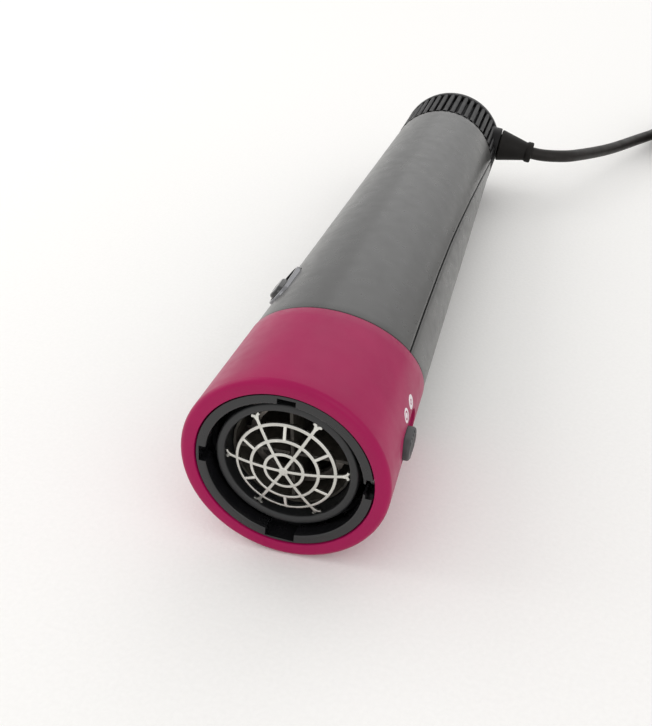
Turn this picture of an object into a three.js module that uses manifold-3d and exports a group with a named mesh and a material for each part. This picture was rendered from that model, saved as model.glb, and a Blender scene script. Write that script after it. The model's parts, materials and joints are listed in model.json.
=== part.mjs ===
// Hot air brush: the power handle of a multi-styler, lying on its side, with its mains cord.
// Millimetres. The handle's own axis is local Y: station 0 is the front plane, the tail is at +Y.
// An angle round the handle is measured from the top (+Z) towards the right (+X).
import * as THREE from "three";
import { mergeVertices } from "three/addons/utils/BufferGeometryUtils.js";
import { RoundedBoxGeometry } from "three/addons/geometries/RoundedBoxGeometry.js";
import Module from "manifold-3d";

const wasm = await Module();
wasm.setup();

// ---------------------------------------------------------------- driving dimensions

const GAP = 0.3; // clearance between touching pieces
const ROUND_SIDES = 48; // facets of the visible round pieces
const INNER_SIDES = 24; // facets of the hidden round pieces
const OUTSIDE_R = 30; // cutting tools reach from INSIDE_R to OUTSIDE_R to go through a wall
const INSIDE_R = 15;

const COLLAR_FRONT_R = 25.9;
const COLLAR_LIP = 0.2; // how far the collar stands over the shell at their joint
const COLLAR_EDGE = 1.4; // rounding of the front edge
const BORE_R = 22.1;
const BORE_DEPTH = 17.0;

const SHELL_FRONT_R = 24.8;
const SHELL_TAIL_R = 20.9;
const JOINT_MIDDLE = 46.3; // station of the slanted collar joint on the handle's axis
const JOINT_SLANT = 0.44; // how much further forward the joint lies for each mm of height
const SHELL_START = 34.0;
const SHELL_END = 213.0;
const SHELL_WALL = 2.0;
const PARTING_GAP = 0.6;
const JOINT_GAP = 0.5;

const SLEEVE_WALL = 1.4;
const SLEEVE_NOSE_R = 22.3;

const TUBE_OUTER_R = 17.7;
const TUBE_INNER_R = 15.5;
const TUBE_FRONT = 2.8;
const TUBE_END = 62.0;

const RING_OUTER_R = 21.1;
const RING_BASE_R = 20.1;
const RING_INNER_R = 18.9;
const RING_START = SHELL_END + 0.4;
const RING_END = 239.0;
const RIB_COUNT = 44;
const RIB_WIDTH = 1.8;

const CAP_START = RING_END + GAP;
const CAP_END = 246.0;
const BOSS = { radius: 6.9, from: 16.0, to: 21.3 }; // on the right side of the intake ring
const RELIEF_STATION = 233.5;
const RELIEF_ROOT_R = 6.6;
const RELIEF_NECK_R = 4.3; // the part of the relief inside the ring
const RELIEF_START_X = 8.0;
const RELIEF_END_X = 36.0;
const RELIEF_DROOP = 9; // degrees that the relief points down
const RELIEF_DROP = 0.4; // how far its end lies under the handle's axis

const LOCK_ANGLE = THREE.MathUtils.degToRad(91); // on the right
const SWITCH_ANGLE = THREE.MathUtils.degToRad(-51); // on the left, above the middle

const CORD_DIAMETER = 5.0;
const CORD_R = CORD_DIAMETER / 2;

// ---------------------------------------------------------------- materials

function plastic(color, roughness = 0.5) {
  return new THREE.MeshStandardMaterial({ color, roughness, metalness: 0 });
}

function metal(color, roughness = 0.3) {
  return new THREE.MeshStandardMaterial({ color, roughness, metalness: 1 });
}

const magenta = plastic(0xa42c5e, 0.35);
const shellGrey = plastic(0x787775, 0.45);
const black = plastic(0x1d1c1d, 0.6);
const charcoal = plastic(0x3f4142, 0.5);
const steel = metal(0xbbbab2, 0.3);
const chrome = metal(0xd8d8d8, 0.1);
const mica = plastic(0xb9ab8c, 0.7);
const nichrome = metal(0x8a8680, 0.4);
const rubber = plastic(0x2b2928, 0.8);
const boardGreen = plastic(0x2f5a3c, 0.6);
const copper = metal(0xb0703c, 0.35);
const cordBlack = plastic(0x34322f, 0.6);
const brass = metal(0xc9b37a, 0.3);

// ---------------------------------------------------------------- solids

// A closed geometry as a manifold solid.
function solid(geometry) {
  const bare = geometry.clone();
  bare.deleteAttribute("normal");
  bare.deleteAttribute("uv");
  const merged = mergeVertices(bare, 1e-4);
  return new wasm.Manifold(
    new wasm.Mesh({
      numProp: 3,
      vertProperties: merged.attributes.position.array,
      triVerts: new Uint32Array(merged.index.array),
    }),
  );
}

function geometryOf(shape) {
  const result = shape.getMesh();
  const geometry = new THREE.BufferGeometry();
  geometry.setAttribute("position", new THREE.BufferAttribute(result.vertProperties, 3));
  geometry.setIndex(new THREE.BufferAttribute(result.triVerts, 1));
  geometry.computeVertexNormals();
  return geometry;
}

function join(first, ...rest) {
  return rest.reduce((sum, piece) => sum.add(piece), first);
}

function cut(body, ...tools) {
  return tools.reduce((rest, tool) => rest.subtract(tool), body);
}

// A solid of revolution round the handle's axis. The profile is a loop of [radius, station]
// pairs that runs towards the tail on the outside and back on the inside.
function turned(profile, sides = ROUND_SIDES) {
  const points = profile.map(([radius, station]) => new THREE.Vector2(radius, station));
  if (profile[0][0] > 0) points.push(points[0].clone());
  return solid(new THREE.LatheGeometry(points, sides));
}

// A plain tube from one station to another.
function tube(outer, inner, from, to, sides = INNER_SIDES) {
  return turned([[outer, from], [outer, to], [inner, to], [inner, from]], sides);
}

// A plain rod along the axis.
function rod(radius, from, to, sides = INNER_SIDES) {
  return turned([[0, from], [radius, from], [radius, to], [0, to]], sides);
}

// A box given by its limits.
function block(x0, x1, y0, y1, z0, z1) {
  const geometry = new THREE.BoxGeometry(x1 - x0, y1 - y0, z1 - z0);
  geometry.translate((x0 + x1) / 2, (y0 + y1) / 2, (z0 + z1) / 2);
  return solid(geometry);
}

// An upright prism with round ends, long in Y, between two heights.
function oblong(width, from, to, low, high, curveSegments = 8) {
  const radius = width / 2;
  const shape = new THREE.Shape();
  shape.absarc(0, from + radius, radius, Math.PI, 2 * Math.PI);
  shape.absarc(0, to - radius, radius, 0, Math.PI);
  const options = { depth: high - low, bevelEnabled: false, curveSegments };
  const geometry = new THREE.ExtrudeGeometry(shape, options);
  geometry.translate(0, 0, low);
  return solid(geometry);
}

// Turns a piece made at the top of the handle to its angle round the axis.
function around(piece, angle) {
  return piece.rotate([0, THREE.MathUtils.radToDeg(angle), 0]);
}

// Points of an arc in the [radius, station] plane.
function arc(centreR, centreY, radius, startDegrees, endDegrees, steps) {
  const points = [];
  for (let i = 0; i <= steps; i += 1) {
    const angle = THREE.MathUtils.degToRad(startDegrees + ((endDegrees - startDegrees) * i) / steps);
    points.push([centreR + radius * Math.cos(angle), centreY + radius * Math.sin(angle)]);
  }
  return points;
}

const handle = new THREE.Group();
const part = new THREE.Group();
part.add(handle);

function addTo(group, name, shape, material) {
  const mesh = new THREE.Mesh(geometryOf(shape), material);
  mesh.name = name;
  group.add(mesh);
}

// ---------------------------------------------------------------- outlet end

const LOCK_TRACK = { width: 7.4, from: 14.0, to: 32.0, floorR: 23.9 };
const LOCK_KNOB = { width: 6.4, from: 15.0, to: 25.0, topR: 27.0 };
const STEM = { width: 2.6, from: 18.4, to: 22.4 };
const LOCK_TRAVEL = 6.0;
const LATCH = { width: 5.0, from: 4.0, to: 27.0, lowR: 20.6, highR: 21.3, tongueR: 20.2 };
const TONGUE_WIDTH = 2.6;

// A side-view outline in the [station, height] plane, as a block across the whole handle.
function acrossHandle(shape, halfWidth) {
  const geometry = new THREE.ExtrudeGeometry(shape, { depth: 2 * halfWidth, bevelEnabled: false });
  geometry.translate(0, 0, -halfWidth);
  geometry.rotateX(Math.PI / 2);
  geometry.rotateZ(Math.PI / 2);
  return solid(geometry);
}

// The space behind the slanted plane that ends the collar, moved back by an offset.
function behindJoint(offset) {
  const reach = 40;
  const start = (height) => JOINT_MIDDLE - JOINT_SLANT * height + offset;
  const shape = new THREE.Shape();
  shape.moveTo(start(-reach), -reach);
  shape.lineTo(SHELL_END + reach, -reach);
  shape.lineTo(SHELL_END + reach, reach);
  shape.lineTo(start(reach), reach);
  return acrossHandle(shape, reach);
}

function makeCollar() {
  const flatR = COLLAR_FRONT_R - COLLAR_EDGE;
  const flushStation = 36; // the collar follows the shell's taper from here on
  const end = 62; // behind the slanted joint all round
  const body = turned([
    ...arc(flatR, COLLAR_EDGE, COLLAR_EDGE, -90, 0, 4),
    [shellRadius(flushStation) + COLLAR_LIP, flushStation],
    [shellRadius(end) + COLLAR_LIP, end],
    [SLEEVE_NOSE_R + GAP, end],
    [SLEEVE_NOSE_R + GAP, BORE_DEPTH],
    [BORE_R, BORE_DEPTH],
    [BORE_R, 0.2],
    [BORE_R + 0.2, 0],
  ]);
  const { width, from, to, floorR } = LOCK_TRACK;
  const track = oblong(width, from, to, floorR, OUTSIDE_R);
  const halfSlot = STEM.width / 2 + GAP;
  const slotEnd = STEM.to + LOCK_TRAVEL + GAP;
  const slot = block(-halfSlot, halfSlot, STEM.from - GAP, slotEnd, INSIDE_R, OUTSIDE_R);
  return cut(body, behindJoint(0), around(track, LOCK_ANGLE), around(slot, LOCK_ANGLE));
}

// The ring that takes a brush head: its lugs enter by the notches and turn into the groove.
const BAYONET = { front: 0.3, mouthR: 19.4, mouthEdge: 0.3, grooveR: 20.6, grooveFrom: 4.6 };
const BAYONET_BACK = { grooveTo: 8.2, from: 9.0, radius: 19.5 };
const NOTCH_DEPTH = 6.4;

// Angle of each notch in degrees and its width in millimetres.
const NOTCHES = [
  { angle: -86, width: 4.4 },
  { angle: 4, width: 4.4 },
  { angle: 184, width: 7.4 },
];

function makeBayonetRing() {
  const { front, mouthR, mouthEdge, grooveR, grooveFrom } = BAYONET;
  const back = BORE_DEPTH - GAP;
  const outer = BORE_R - GAP;
  const body = turned([
    [outer, front],
    [outer, back],
    [BAYONET_BACK.radius, back],
    [BAYONET_BACK.radius, BAYONET_BACK.from],
    [grooveR, BAYONET_BACK.grooveTo],
    [grooveR, grooveFrom],
    [mouthR, grooveFrom],
    [mouthR, front + mouthEdge],
    [mouthR + mouthEdge, front],
  ]);
  const notchR = outer - 0.8;
  const notches = NOTCHES.map(({ angle, width }) =>
    around(block(-width / 2, width / 2, 0, NOTCH_DEPTH, INSIDE_R, notchR), THREE.MathUtils.degToRad(angle)),
  );
  const halfLatch = LATCH.width / 2 + GAP;
  const latchGroove = block(-halfLatch, halfLatch, 0, BORE_DEPTH, LATCH.tongueR - GAP, OUTSIDE_R);
  const halfMouth = TONGUE_WIDTH / 2 + GAP;
  const lockMouth = block(-halfMouth, halfMouth, 0, NOTCH_DEPTH, INSIDE_R, OUTSIDE_R);
  return cut(body, ...notches, around(latchGroove, LOCK_ANGLE), around(lockMouth, LOCK_ANGLE));
}

function makeOutletTube() {
  const edge = 0.4;
  return turned([
    [TUBE_OUTER_R - edge, TUBE_FRONT],
    [TUBE_OUTER_R, TUBE_FRONT + edge],
    [TUBE_OUTER_R, TUBE_END],
    [TUBE_INNER_R, TUBE_END],
    [TUBE_INNER_R, TUBE_FRONT + edge],
    [TUBE_INNER_R + edge, TUBE_FRONT],
  ]);
}

// The ring inside the sleeve that carries the outlet tube.
function makeTubeCarrier() {
  const from = 38;
  const to = 50;
  const outer = 20.3;
  const flare = { radius: 18.8, length: 4 };
  return turned([
    [outer, from],
    [outer, to],
    [TUBE_OUTER_R + GAP, to],
    [TUBE_OUTER_R + GAP, from + flare.length],
    [flare.radius, from],
  ], INNER_SIDES);
}

// The web grille bulges out of the tube's mouth: its hub stands furthest forward.
const WEB_R = 15.0;
const WEB_HUB_Y = 0.8;
const WEB_EDGE_Y = 3.4;
const WEB_THICK = 0.7;
const WEB_BAR = 0.8;
const WEB_SPOKES = 6;
const WEB_RINGS = [4.7, 8.3, 12.2];
const WEB_SPOKE_ANGLE = 31; // degrees from the top to the first spoke
const WEB_FORK = { root: 13.2, length: 2.2, spread: 38 };

function webStation(radius) {
  return WEB_HUB_Y + (WEB_EDGE_Y - WEB_HUB_Y) * (radius / WEB_R) ** 2;
}

function webRing(radius) {
  const inner = radius - WEB_BAR / 2;
  const outer = radius + WEB_BAR / 2;
  return turned([
    [outer, webStation(outer)],
    [outer, webStation(outer) + WEB_THICK],
    [inner, webStation(inner) + WEB_THICK],
    [inner, webStation(inner)],
  ], 36);
}

// A bar of the web along a radius, made at the top of the handle.
function webBar(from, to) {
  const steps = 3;
  const shape = new THREE.Shape();
  for (let i = 0; i <= steps; i += 1) {
    const radius = from + ((to - from) * i) / steps;
    if (i === 0) shape.moveTo(radius, webStation(radius));
    else shape.lineTo(radius, webStation(radius));
  }
  for (let i = steps; i >= 0; i -= 1) {
    const radius = from + ((to - from) * i) / steps;
    shape.lineTo(radius, webStation(radius) + WEB_THICK);
  }
  const geometry = new THREE.ExtrudeGeometry(shape, { depth: WEB_BAR, bevelEnabled: false });
  geometry.translate(0, 0, -WEB_BAR / 2);
  geometry.rotateY(-Math.PI / 2);
  return solid(geometry);
}

// The forked end of a spoke: two short prongs that spread towards the tube's wall.
function webFork() {
  const { root, length, spread } = WEB_FORK;
  const prong = block(-WEB_BAR / 2, WEB_BAR / 2, 0, WEB_THICK, 0, length);
  const prongs = [-spread, spread].map((degrees) => prong.rotate([0, degrees, 0]));
  return join(...prongs).translate([0, webStation(root + 0.2), root]);
}

function makeOutletGrille() {
  const hub = rod(1.1, WEB_HUB_Y, WEB_HUB_Y + WEB_THICK, 12);
  const pieces = WEB_RINGS.map(webRing);
  for (let i = 0; i < WEB_SPOKES; i += 1) {
    const angle = THREE.MathUtils.degToRad(WEB_SPOKE_ANGLE + (360 / WEB_SPOKES) * i);
    const half = Math.PI / WEB_SPOKES;
    pieces.push(around(webBar(0.5, WEB_FORK.root + 0.4), angle));
    pieces.push(around(webFork(), angle));
    pieces.push(around(webBar(WEB_RINGS[1], WEB_RINGS[2]), angle + half));
  }
  return join(hub, ...pieces);
}

function makeLockKnob() {
  const { width, from, to, topR } = LOCK_KNOB;
  const edge = 0.7;
  const foot = oblong(width, from, to, LOCK_TRACK.floorR + GAP, topR - edge);
  const crown = oblong(width - 2 * edge, from + edge, to - edge, topR - edge, topR);
  const halfStem = STEM.width / 2;
  const stem = block(-halfStem, halfStem, STEM.from, STEM.to, LATCH.highR + GAP, topR - 1);
  const dimple = rod(2.4, -5, 5, 16).rotate([0, 0, 90]).translate([0, (from + to) / 2, topR + 1.4]);
  return around(cut(join(foot, crown, stem), dimple), LOCK_ANGLE);
}

function makeLockLatch() {
  const { width, from, to, lowR, highR, tongueR } = LATCH;
  const plate = block(-width / 2, width / 2, from + 2, to, lowR, highR);
  const tongue = block(-TONGUE_WIDTH / 2, TONGUE_WIDTH / 2, from, from + 3, tongueR, highR);
  return around(join(plate, tongue), LOCK_ANGLE);
}

// ---------------------------------------------------------------- shells and sleeve

function shellRadius(station) {
  const share = (station - SHELL_START) / (SHELL_END - SHELL_START);
  return SHELL_FRONT_R + (SHELL_TAIL_R - SHELL_FRONT_R) * share;
}

// A band that follows the shell's taper between two offsets from its surface.
function shellBand(outset, inset, from, to, sides = ROUND_SIDES) {
  return turned([
    [shellRadius(from) + outset, from],
    [shellRadius(to) + outset, to],
    [shellRadius(to) - inset, to],
    [shellRadius(from) - inset, from],
  ], sides);
}

// Height of the parting line over the axis, seen from the side: it swoops down to the tail.
const PARTING = [
  [SHELL_START - 2, 12.2],
  [62, 12.0],
  [90, 11.5],
  [112, 10.8],
  [132, 9.7],
  [155, 8.0],
  [180, 5.7],
  [200, 3.4],
  [SHELL_END + 2, 1.4],
];

// Everything over the parting line, shifted by an offset, as a block across the handle.
function overParting(offset) {
  const shape = new THREE.Shape();
  const reach = 40;
  shape.moveTo(PARTING[0][0], reach);
  PARTING.forEach(([station, height]) => shape.lineTo(station, height + offset));
  shape.lineTo(PARTING[PARTING.length - 1][0], reach);
  return acrossHandle(shape, reach);
}

// Both shells before they are parted: from the slanted joint to the intake ring.
function shellBody() {
  return shellBand(0, SHELL_WALL, SHELL_START, SHELL_END).intersect(behindJoint(JOINT_GAP));
}

function makeUpperShell() {
  const band = shellBody().intersect(overParting(PARTING_GAP / 2));
  return cut(band, switchOpening(BEZEL_WIDTH + GAP));
}

const SWITCH = { width: 6.0, from: 53.2, to: 69.6, topR: 25.0 };
const BEZEL_WIDTH = 0.8;
const SWITCH_KNOB = { width: 4.8, from: 54.0, to: 62.2, topR: 26.3 };
const SWITCH_TRAVEL = 6.0;
const SWITCH_SLOT_FLOOR = 21.6;

// The oblong opening of the switch, made at the top and turned to the left side.
function switchOpening(margin, top = OUTSIDE_R) {
  const { width, from, to } = SWITCH;
  const low = 12;
  const hole = oblong(width + 2 * margin, from - margin, to + margin, low, top);
  return around(hole, SWITCH_ANGLE);
}

function makeLowerShell() {
  return cut(shellBody(), overParting(-PARTING_GAP / 2), switchOpening(BEZEL_WIDTH + GAP));
}

function sleeveRadius(station) {
  return shellRadius(station) - SHELL_WALL - GAP;
}

function makeInnerSleeve() {
  const start = BORE_DEPTH + GAP;
  const taper = (SHELL_FRONT_R - SHELL_TAIL_R) / (SHELL_END - SHELL_START);
  const noseEnd = SHELL_START + (sleeveRadius(SHELL_START) - SLEEVE_NOSE_R) / taper;
  const body = turned([
    [SLEEVE_NOSE_R, start],
    [SLEEVE_NOSE_R, noseEnd],
    [sleeveRadius(SHELL_END), SHELL_END],
    [sleeveRadius(SHELL_END) - SLEEVE_WALL, SHELL_END],
    [SLEEVE_NOSE_R - SLEEVE_WALL, noseEnd],
    [SLEEVE_NOSE_R - SLEEVE_WALL, start],
  ]);
  const halfLatch = LATCH.width / 2 + GAP;
  const latchEnd = LATCH.to + LOCK_TRAVEL + GAP;
  const latchSlot = block(-halfLatch, halfLatch, 0, latchEnd, INSIDE_R, OUTSIDE_R);
  return cut(body, around(latchSlot, LOCK_ANGLE), switchOpening(GAP));
}

// ---------------------------------------------------------------- mode switch

// A flat-topped oval ring that stands a little over the round shell.
function makeSwitchBezel() {
  const outer = switchOpening(BEZEL_WIDTH, SWITCH.topR);
  const insideR = shellRadius(SWITCH.from) - SHELL_WALL + GAP;
  const inside = rod(insideR, SWITCH.from - 5, SWITCH.to + 5, ROUND_SIDES);
  return cut(outer, switchOpening(0), inside);
}

function makeSwitchBody() {
  const { from, to } = SWITCH;
  const plug = shellBand(-0.9, 6.0, from - 4, to + 4).intersect(switchOpening(-GAP));
  const knob = SWITCH_KNOB;
  const slotTo = knob.to + SWITCH_TRAVEL + GAP;
  const slotWidth = knob.width + 2 * GAP;
  const slot = oblong(slotWidth, knob.from - GAP, slotTo, SWITCH_SLOT_FLOOR, OUTSIDE_R);
  return cut(plug, around(slot, SWITCH_ANGLE));
}

function makeSwitchKnob() {
  const { width, from, to, topR } = SWITCH_KNOB;
  const edge = 0.6;
  const middle = (from + to) / 2;
  const foot = oblong(width, from, to, SWITCH_SLOT_FLOOR + GAP, topR - edge);
  const crown = oblong(width - 2 * edge, from + edge, to - edge, topR - edge, topR);
  const grip = block(-0.9, 0.9, middle - 3, middle + 3, topR - 0.5, topR + 1);
  return around(cut(join(foot, crown), grip), SWITCH_ANGLE);
}

// ---------------------------------------------------------------- heater

const HEATER = { from: 8.0, to: 56.0, boardR: 14.2, boardThick: 0.8 };
const WINDING_R = 11.6;
const WINDING_WIRE = 0.9; // half the thickness of a band of wire
const WINDING_STATIONS = [14, 24, 34, 44];

function makeMicaSleeve() {
  return tube(TUBE_INNER_R - GAP, TUBE_INNER_R - GAP - 0.6, HEATER.from, HEATER.to);
}

// One of the two crossed boards; each is slotted halfway so that they slide together.
function makeHeaterBoard(angle, slotFrom, slotTo) {
  const { from, to, boardR, boardThick } = HEATER;
  const half = boardThick / 2;
  const board = block(-half, half, from, to, -boardR, boardR);
  const crossSlot = block(-2, 2, slotFrom, slotTo, -half - GAP, half + GAP);
  const notches = WINDING_STATIONS.flatMap((station) =>
    [-1, 1].map((side) => {
      const reach = WINDING_R - WINDING_WIRE - GAP;
      const edges = [side * reach, side * (boardR + 2)].sort((a, b) => a - b);
      return block(-2, 2, station - 1.2, station + 1.2, ...edges);
    }),
  );
  return around(cut(board, crossSlot, ...notches), angle);
}

function makeHeaterWinding(station) {
  const outer = WINDING_R + WINDING_WIRE;
  const inner = WINDING_R - WINDING_WIRE;
  return tube(outer, inner, station - WINDING_WIRE, station + WINDING_WIRE);
}

function makeThermalCutout() {
  return block(1.2, 8.0, 47.5, 53.5, 1.2, 5.2);
}

// ---------------------------------------------------------------- fan

const MOTOR = { outerR: 16.4, innerR: 15.0, from: 150, to: 203 };
const STATOR = { canR: 10.0, boreR: 6.3, from: 154, to: 176, coilR: 11.6, coils: 6 };
const VANES = { rimR: 14.6, hubR: 7.0, from: 179, to: 188, count: 7 };
const FAN_AXLE_R = 1.6;
const IMPELLER = { from: 191.0, to: 201.0, hubR: 6.0, tipR: 14.2, blades: 9 };

function makeMotorHousing() {
  return tube(MOTOR.outerR, MOTOR.innerR, MOTOR.from, MOTOR.to);
}

function makeMotorStator() {
  const { canR, boreR, from, to, coilR, coils } = STATOR;
  const can = tube(canR, boreR, from, to);
  const windings = [];
  for (let i = 0; i < coils; i += 1) {
    const coil = block(-2.2, 2.2, from + 2, to - 2, canR - 0.5, coilR);
    windings.push(around(coil, ((2 * Math.PI) / coils) * i));
  }
  return join(can, ...windings);
}

function makeRotorMagnet() {
  return tube(STATOR.boreR - 0.5, FAN_AXLE_R + GAP, STATOR.from + 2, STATOR.to - 2);
}

function makeFanShaft() {
  return rod(FAN_AXLE_R, MOTOR.from, MOTOR.to + 3, 16);
}

// Fixed vanes behind the impeller straighten the air and carry the motor's bearing.
function makeStatorVanes() {
  const { rimR, hubR, from, to, count } = VANES;
  const hub = tube(hubR, FAN_AXLE_R + GAP, from, to);
  const rim = tube(rimR, rimR - 1, from, to);
  const vanes = [];
  for (let i = 0; i < count; i += 1) {
    const vane = block(-0.5, 0.5, from + 1, to - 1, hubR - 0.5, rimR - 0.6);
    vanes.push(around(vane, ((2 * Math.PI) / count) * i));
  }
  return join(hub, rim, ...vanes);
}

function makeImpeller() {
  const { from, to, hubR, tipR, blades } = IMPELLER;
  const hub = turned([
    [hubR, from],
    [hubR - 2.5, to],
    [FAN_AXLE_R + GAP, to],
    [FAN_AXLE_R + GAP, from],
  ], 24);
  const middle = (from + to) / 2;
  const pieces = [];
  for (let i = 0; i < blades; i += 1) {
    const blade = block(-0.45, 0.45, -5.2, 5.2, 3.5, tipR).rotate([0, 0, 32]).translate([0, middle, 0]);
    pieces.push(around(blade, ((2 * Math.PI) / blades) * i));
  }
  return join(hub, ...pieces).intersect(rod(tipR, from, to, 48));
}

// A ring that funnels the air from the sleeve into the fan's eye.
function makeInletShroud() {
  const start = MOTOR.to + GAP;
  const end = 211;
  const outer = 16.6;
  const eye = { radius: 11.0, from: 204.8, to: 206.5 };
  return turned([
    [outer, start],
    [outer, end],
    [outer - 1, end],
    [eye.radius, eye.to],
    [eye.radius, eye.from],
    [outer - 2, start],
  ], INNER_SIDES);
}

function makeMotorMount() {
  return tube(17.2, MOTOR.outerR + GAP, MOTOR.from + 8, MOTOR.from + 22);
}

// ---------------------------------------------------------------- electronics

function makeControlBoard() {
  return block(-14, 14, 88, 142, -9.6, -8.0);
}

function makeCapacitor() {
  return rod(4.2, 94, 110, 20).translate([-6, 0, -3.4]);
}

function makePowerModule() {
  return block(2, 11, 96, 116, -7.7, -1.0);
}

function makeChoke() {
  return tube(5.0, 2.4, 122, 128, 20).translate([0, 0, -2.4]);
}

// ---------------------------------------------------------------- tail

function makeIntakeRing() {
  const frontRim = tube(RING_BASE_R, RING_INNER_R, RING_START, RING_START + 3.2, ROUND_SIDES);
  const rearRim = tube(RING_OUTER_R, RING_INNER_R, RING_END - 3.0, RING_END, ROUND_SIDES);
  const ribs = [];
  for (let i = 0; i < RIB_COUNT; i += 1) {
    const half = RIB_WIDTH / 2;
    const rib = block(-half, half, RING_START, RING_END - 1, RING_INNER_R + 0.3, RING_OUTER_R - 0.05);
    ribs.push(around(rib, ((2 * Math.PI) / RIB_COUNT) * i));
  }
  const boss = sideways(rod(BOSS.radius, BOSS.from, BOSS.to));
  const reach = 40;
  const behindRing = block(-reach, reach, RING_END, RING_END + reach, -reach, reach);
  const cordHole = sideways(rod(RELIEF_NECK_R + GAP, BOSS.from - 6, BOSS.to + 4));
  return cut(join(frontRim, rearRim, ...ribs, boss), behindRing, cordHole);
}

// Turns a piece made along the axis so that it points to the right and a little down, at the
// relief's station.
function sideways(piece) {
  return piece
    .rotate([0, 0, -90])
    .translate([-RELIEF_END_X, 0, 0])
    .rotate([0, RELIEF_DROOP, 0])
    .translate([RELIEF_END_X, RELIEF_STATION, -RELIEF_DROP]);
}

function makeFilterScreen() {
  const screen = tube(RING_INNER_R - GAP, RING_INNER_R - 3 * GAP, RING_START + 1, RING_END - 1);
  return cut(screen, sideways(rod(BOSS.radius + GAP, BOSS.from - 6, BOSS.to + 4)));
}

// A shallow domed cap, narrower than the intake ring.
function makeTailCap() {
  const wall = 1.6;
  const crownR = 12.5;
  const rimR = RING_INNER_R + 0.9;
  return turned([
    [0, CAP_END - wall],
    [crownR, CAP_END - wall],
    [15.6, CAP_END - 3.2],
    [RING_INNER_R - 1, CAP_START],
    [rimR, CAP_START],
    [17.5, CAP_START + 3.2],
    [crownR, CAP_END - 0.6],
    [9.0, CAP_END],
    [0, CAP_END],
  ]);
}

// A pan head with a cross, to the left (-1) or right (1) of the axis.
function makeTailScrew(side) {
  const head = rod(2.3, CAP_END + 0.02, CAP_END + 1.0, 16);
  const cross = block(-0.4, 0.4, CAP_END + 0.4, CAP_END + 2, -1.6, 1.6);
  return cut(head, cross, around(cross, Math.PI / 2)).translate([side * 8, 0, 0]);
}

function makeTerminalBlock() {
  return block(-9, 4, 229, 237.5, -4.5, 4.5);
}

// A short tapered sleeve that leaves the ring sideways, with a rounded flange at its end.
function makeStrainRelief() {
  const rootX = BOSS.to + GAP;
  const flange = { radius: 4.3, thick: 2.4, waistR: 3.8, edge: 1.2 };
  return sideways(turned([
    [0, RELIEF_START_X],
    [RELIEF_NECK_R, RELIEF_START_X],
    [RELIEF_NECK_R, rootX],
    [RELIEF_ROOT_R, rootX],
    [flange.waistR, RELIEF_END_X - flange.thick],
    ...arc(flange.radius - flange.edge, RELIEF_END_X - flange.edge, flange.edge, -45, 90, 3),
    [0, RELIEF_END_X],
  ], 24));
}

addTo(handle, "collar", makeCollar(), magenta);
addTo(handle, "bayonet_ring", makeBayonetRing(), black);
addTo(handle, "outlet_tube", makeOutletTube(), charcoal);
addTo(handle, "tube_carrier", makeTubeCarrier(), black);
addTo(handle, "outlet_grille", makeOutletGrille(), steel);
addTo(handle, "lock_knob", makeLockKnob(), charcoal);
addTo(handle, "lock_latch", makeLockLatch(), steel);
addTo(handle, "upper_shell", makeUpperShell(), shellGrey);
addTo(handle, "lower_shell", makeLowerShell(), shellGrey);
addTo(handle, "inner_sleeve", makeInnerSleeve(), black);
addTo(handle, "switch_bezel", makeSwitchBezel(), chrome);
addTo(handle, "switch_body", makeSwitchBody(), black);
addTo(handle, "switch_knob", makeSwitchKnob(), charcoal);
addTo(handle, "mica_sleeve", makeMicaSleeve(), mica);
addTo(handle, "heater_board_a", makeHeaterBoard(0, 30, 60), mica);
addTo(handle, "heater_board_b", makeHeaterBoard(Math.PI / 2, 0, 30 + GAP), mica);
WINDING_STATIONS.forEach((station, i) => {
  addTo(handle, `heater_winding_${i + 1}`, makeHeaterWinding(station), nichrome);
});
addTo(handle, "thermal_cutout", makeThermalCutout(), steel);
addTo(handle, "motor_housing", makeMotorHousing(), charcoal);
addTo(handle, "motor_stator", makeMotorStator(), copper);
addTo(handle, "motor_mount", makeMotorMount(), rubber);
addTo(handle, "stator_vanes", makeStatorVanes(), charcoal);
addTo(handle, "rotor_magnet", makeRotorMagnet(), steel);
addTo(handle, "fan_shaft", makeFanShaft(), steel);
addTo(handle, "impeller", makeImpeller(), charcoal);
addTo(handle, "inlet_shroud", makeInletShroud(), black);
addTo(handle, "control_board", makeControlBoard(), boardGreen);
addTo(handle, "capacitor", makeCapacitor(), black);
addTo(handle, "power_module", makePowerModule(), black);
addTo(handle, "choke", makeChoke(), copper);
addTo(handle, "intake_ring", makeIntakeRing(), black);
addTo(handle, "filter_screen", makeFilterScreen(), steel);
addTo(handle, "tail_cap", makeTailCap(), black);
addTo(handle, "tail_screw_1", makeTailScrew(-1), steel);
addTo(handle, "tail_screw_2", makeTailScrew(1), steel);
addTo(handle, "terminal_block", makeTerminalBlock(), charcoal);
addTo(handle, "strain_relief", makeStrainRelief(), rubber);

// ---------------------------------------------------------------- resting pose

// The handle tapers, so on a flat surface its axis dips towards the tail until the collar's
// front and the intake ring's rear edge both touch.
const REST_TILT = Math.asin((COLLAR_FRONT_R - RING_OUTER_R) / (RING_END - COLLAR_EDGE));
handle.rotation.x = -REST_TILT;
handle.updateMatrixWorld(true);
const resting = new THREE.Box3().setFromObject(handle, true);
handle.position.y = -(resting.min.y + resting.max.y) / 2;
handle.position.z = -resting.min.z;
handle.updateMatrixWorld(true);

// ---------------------------------------------------------------- cord

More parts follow.
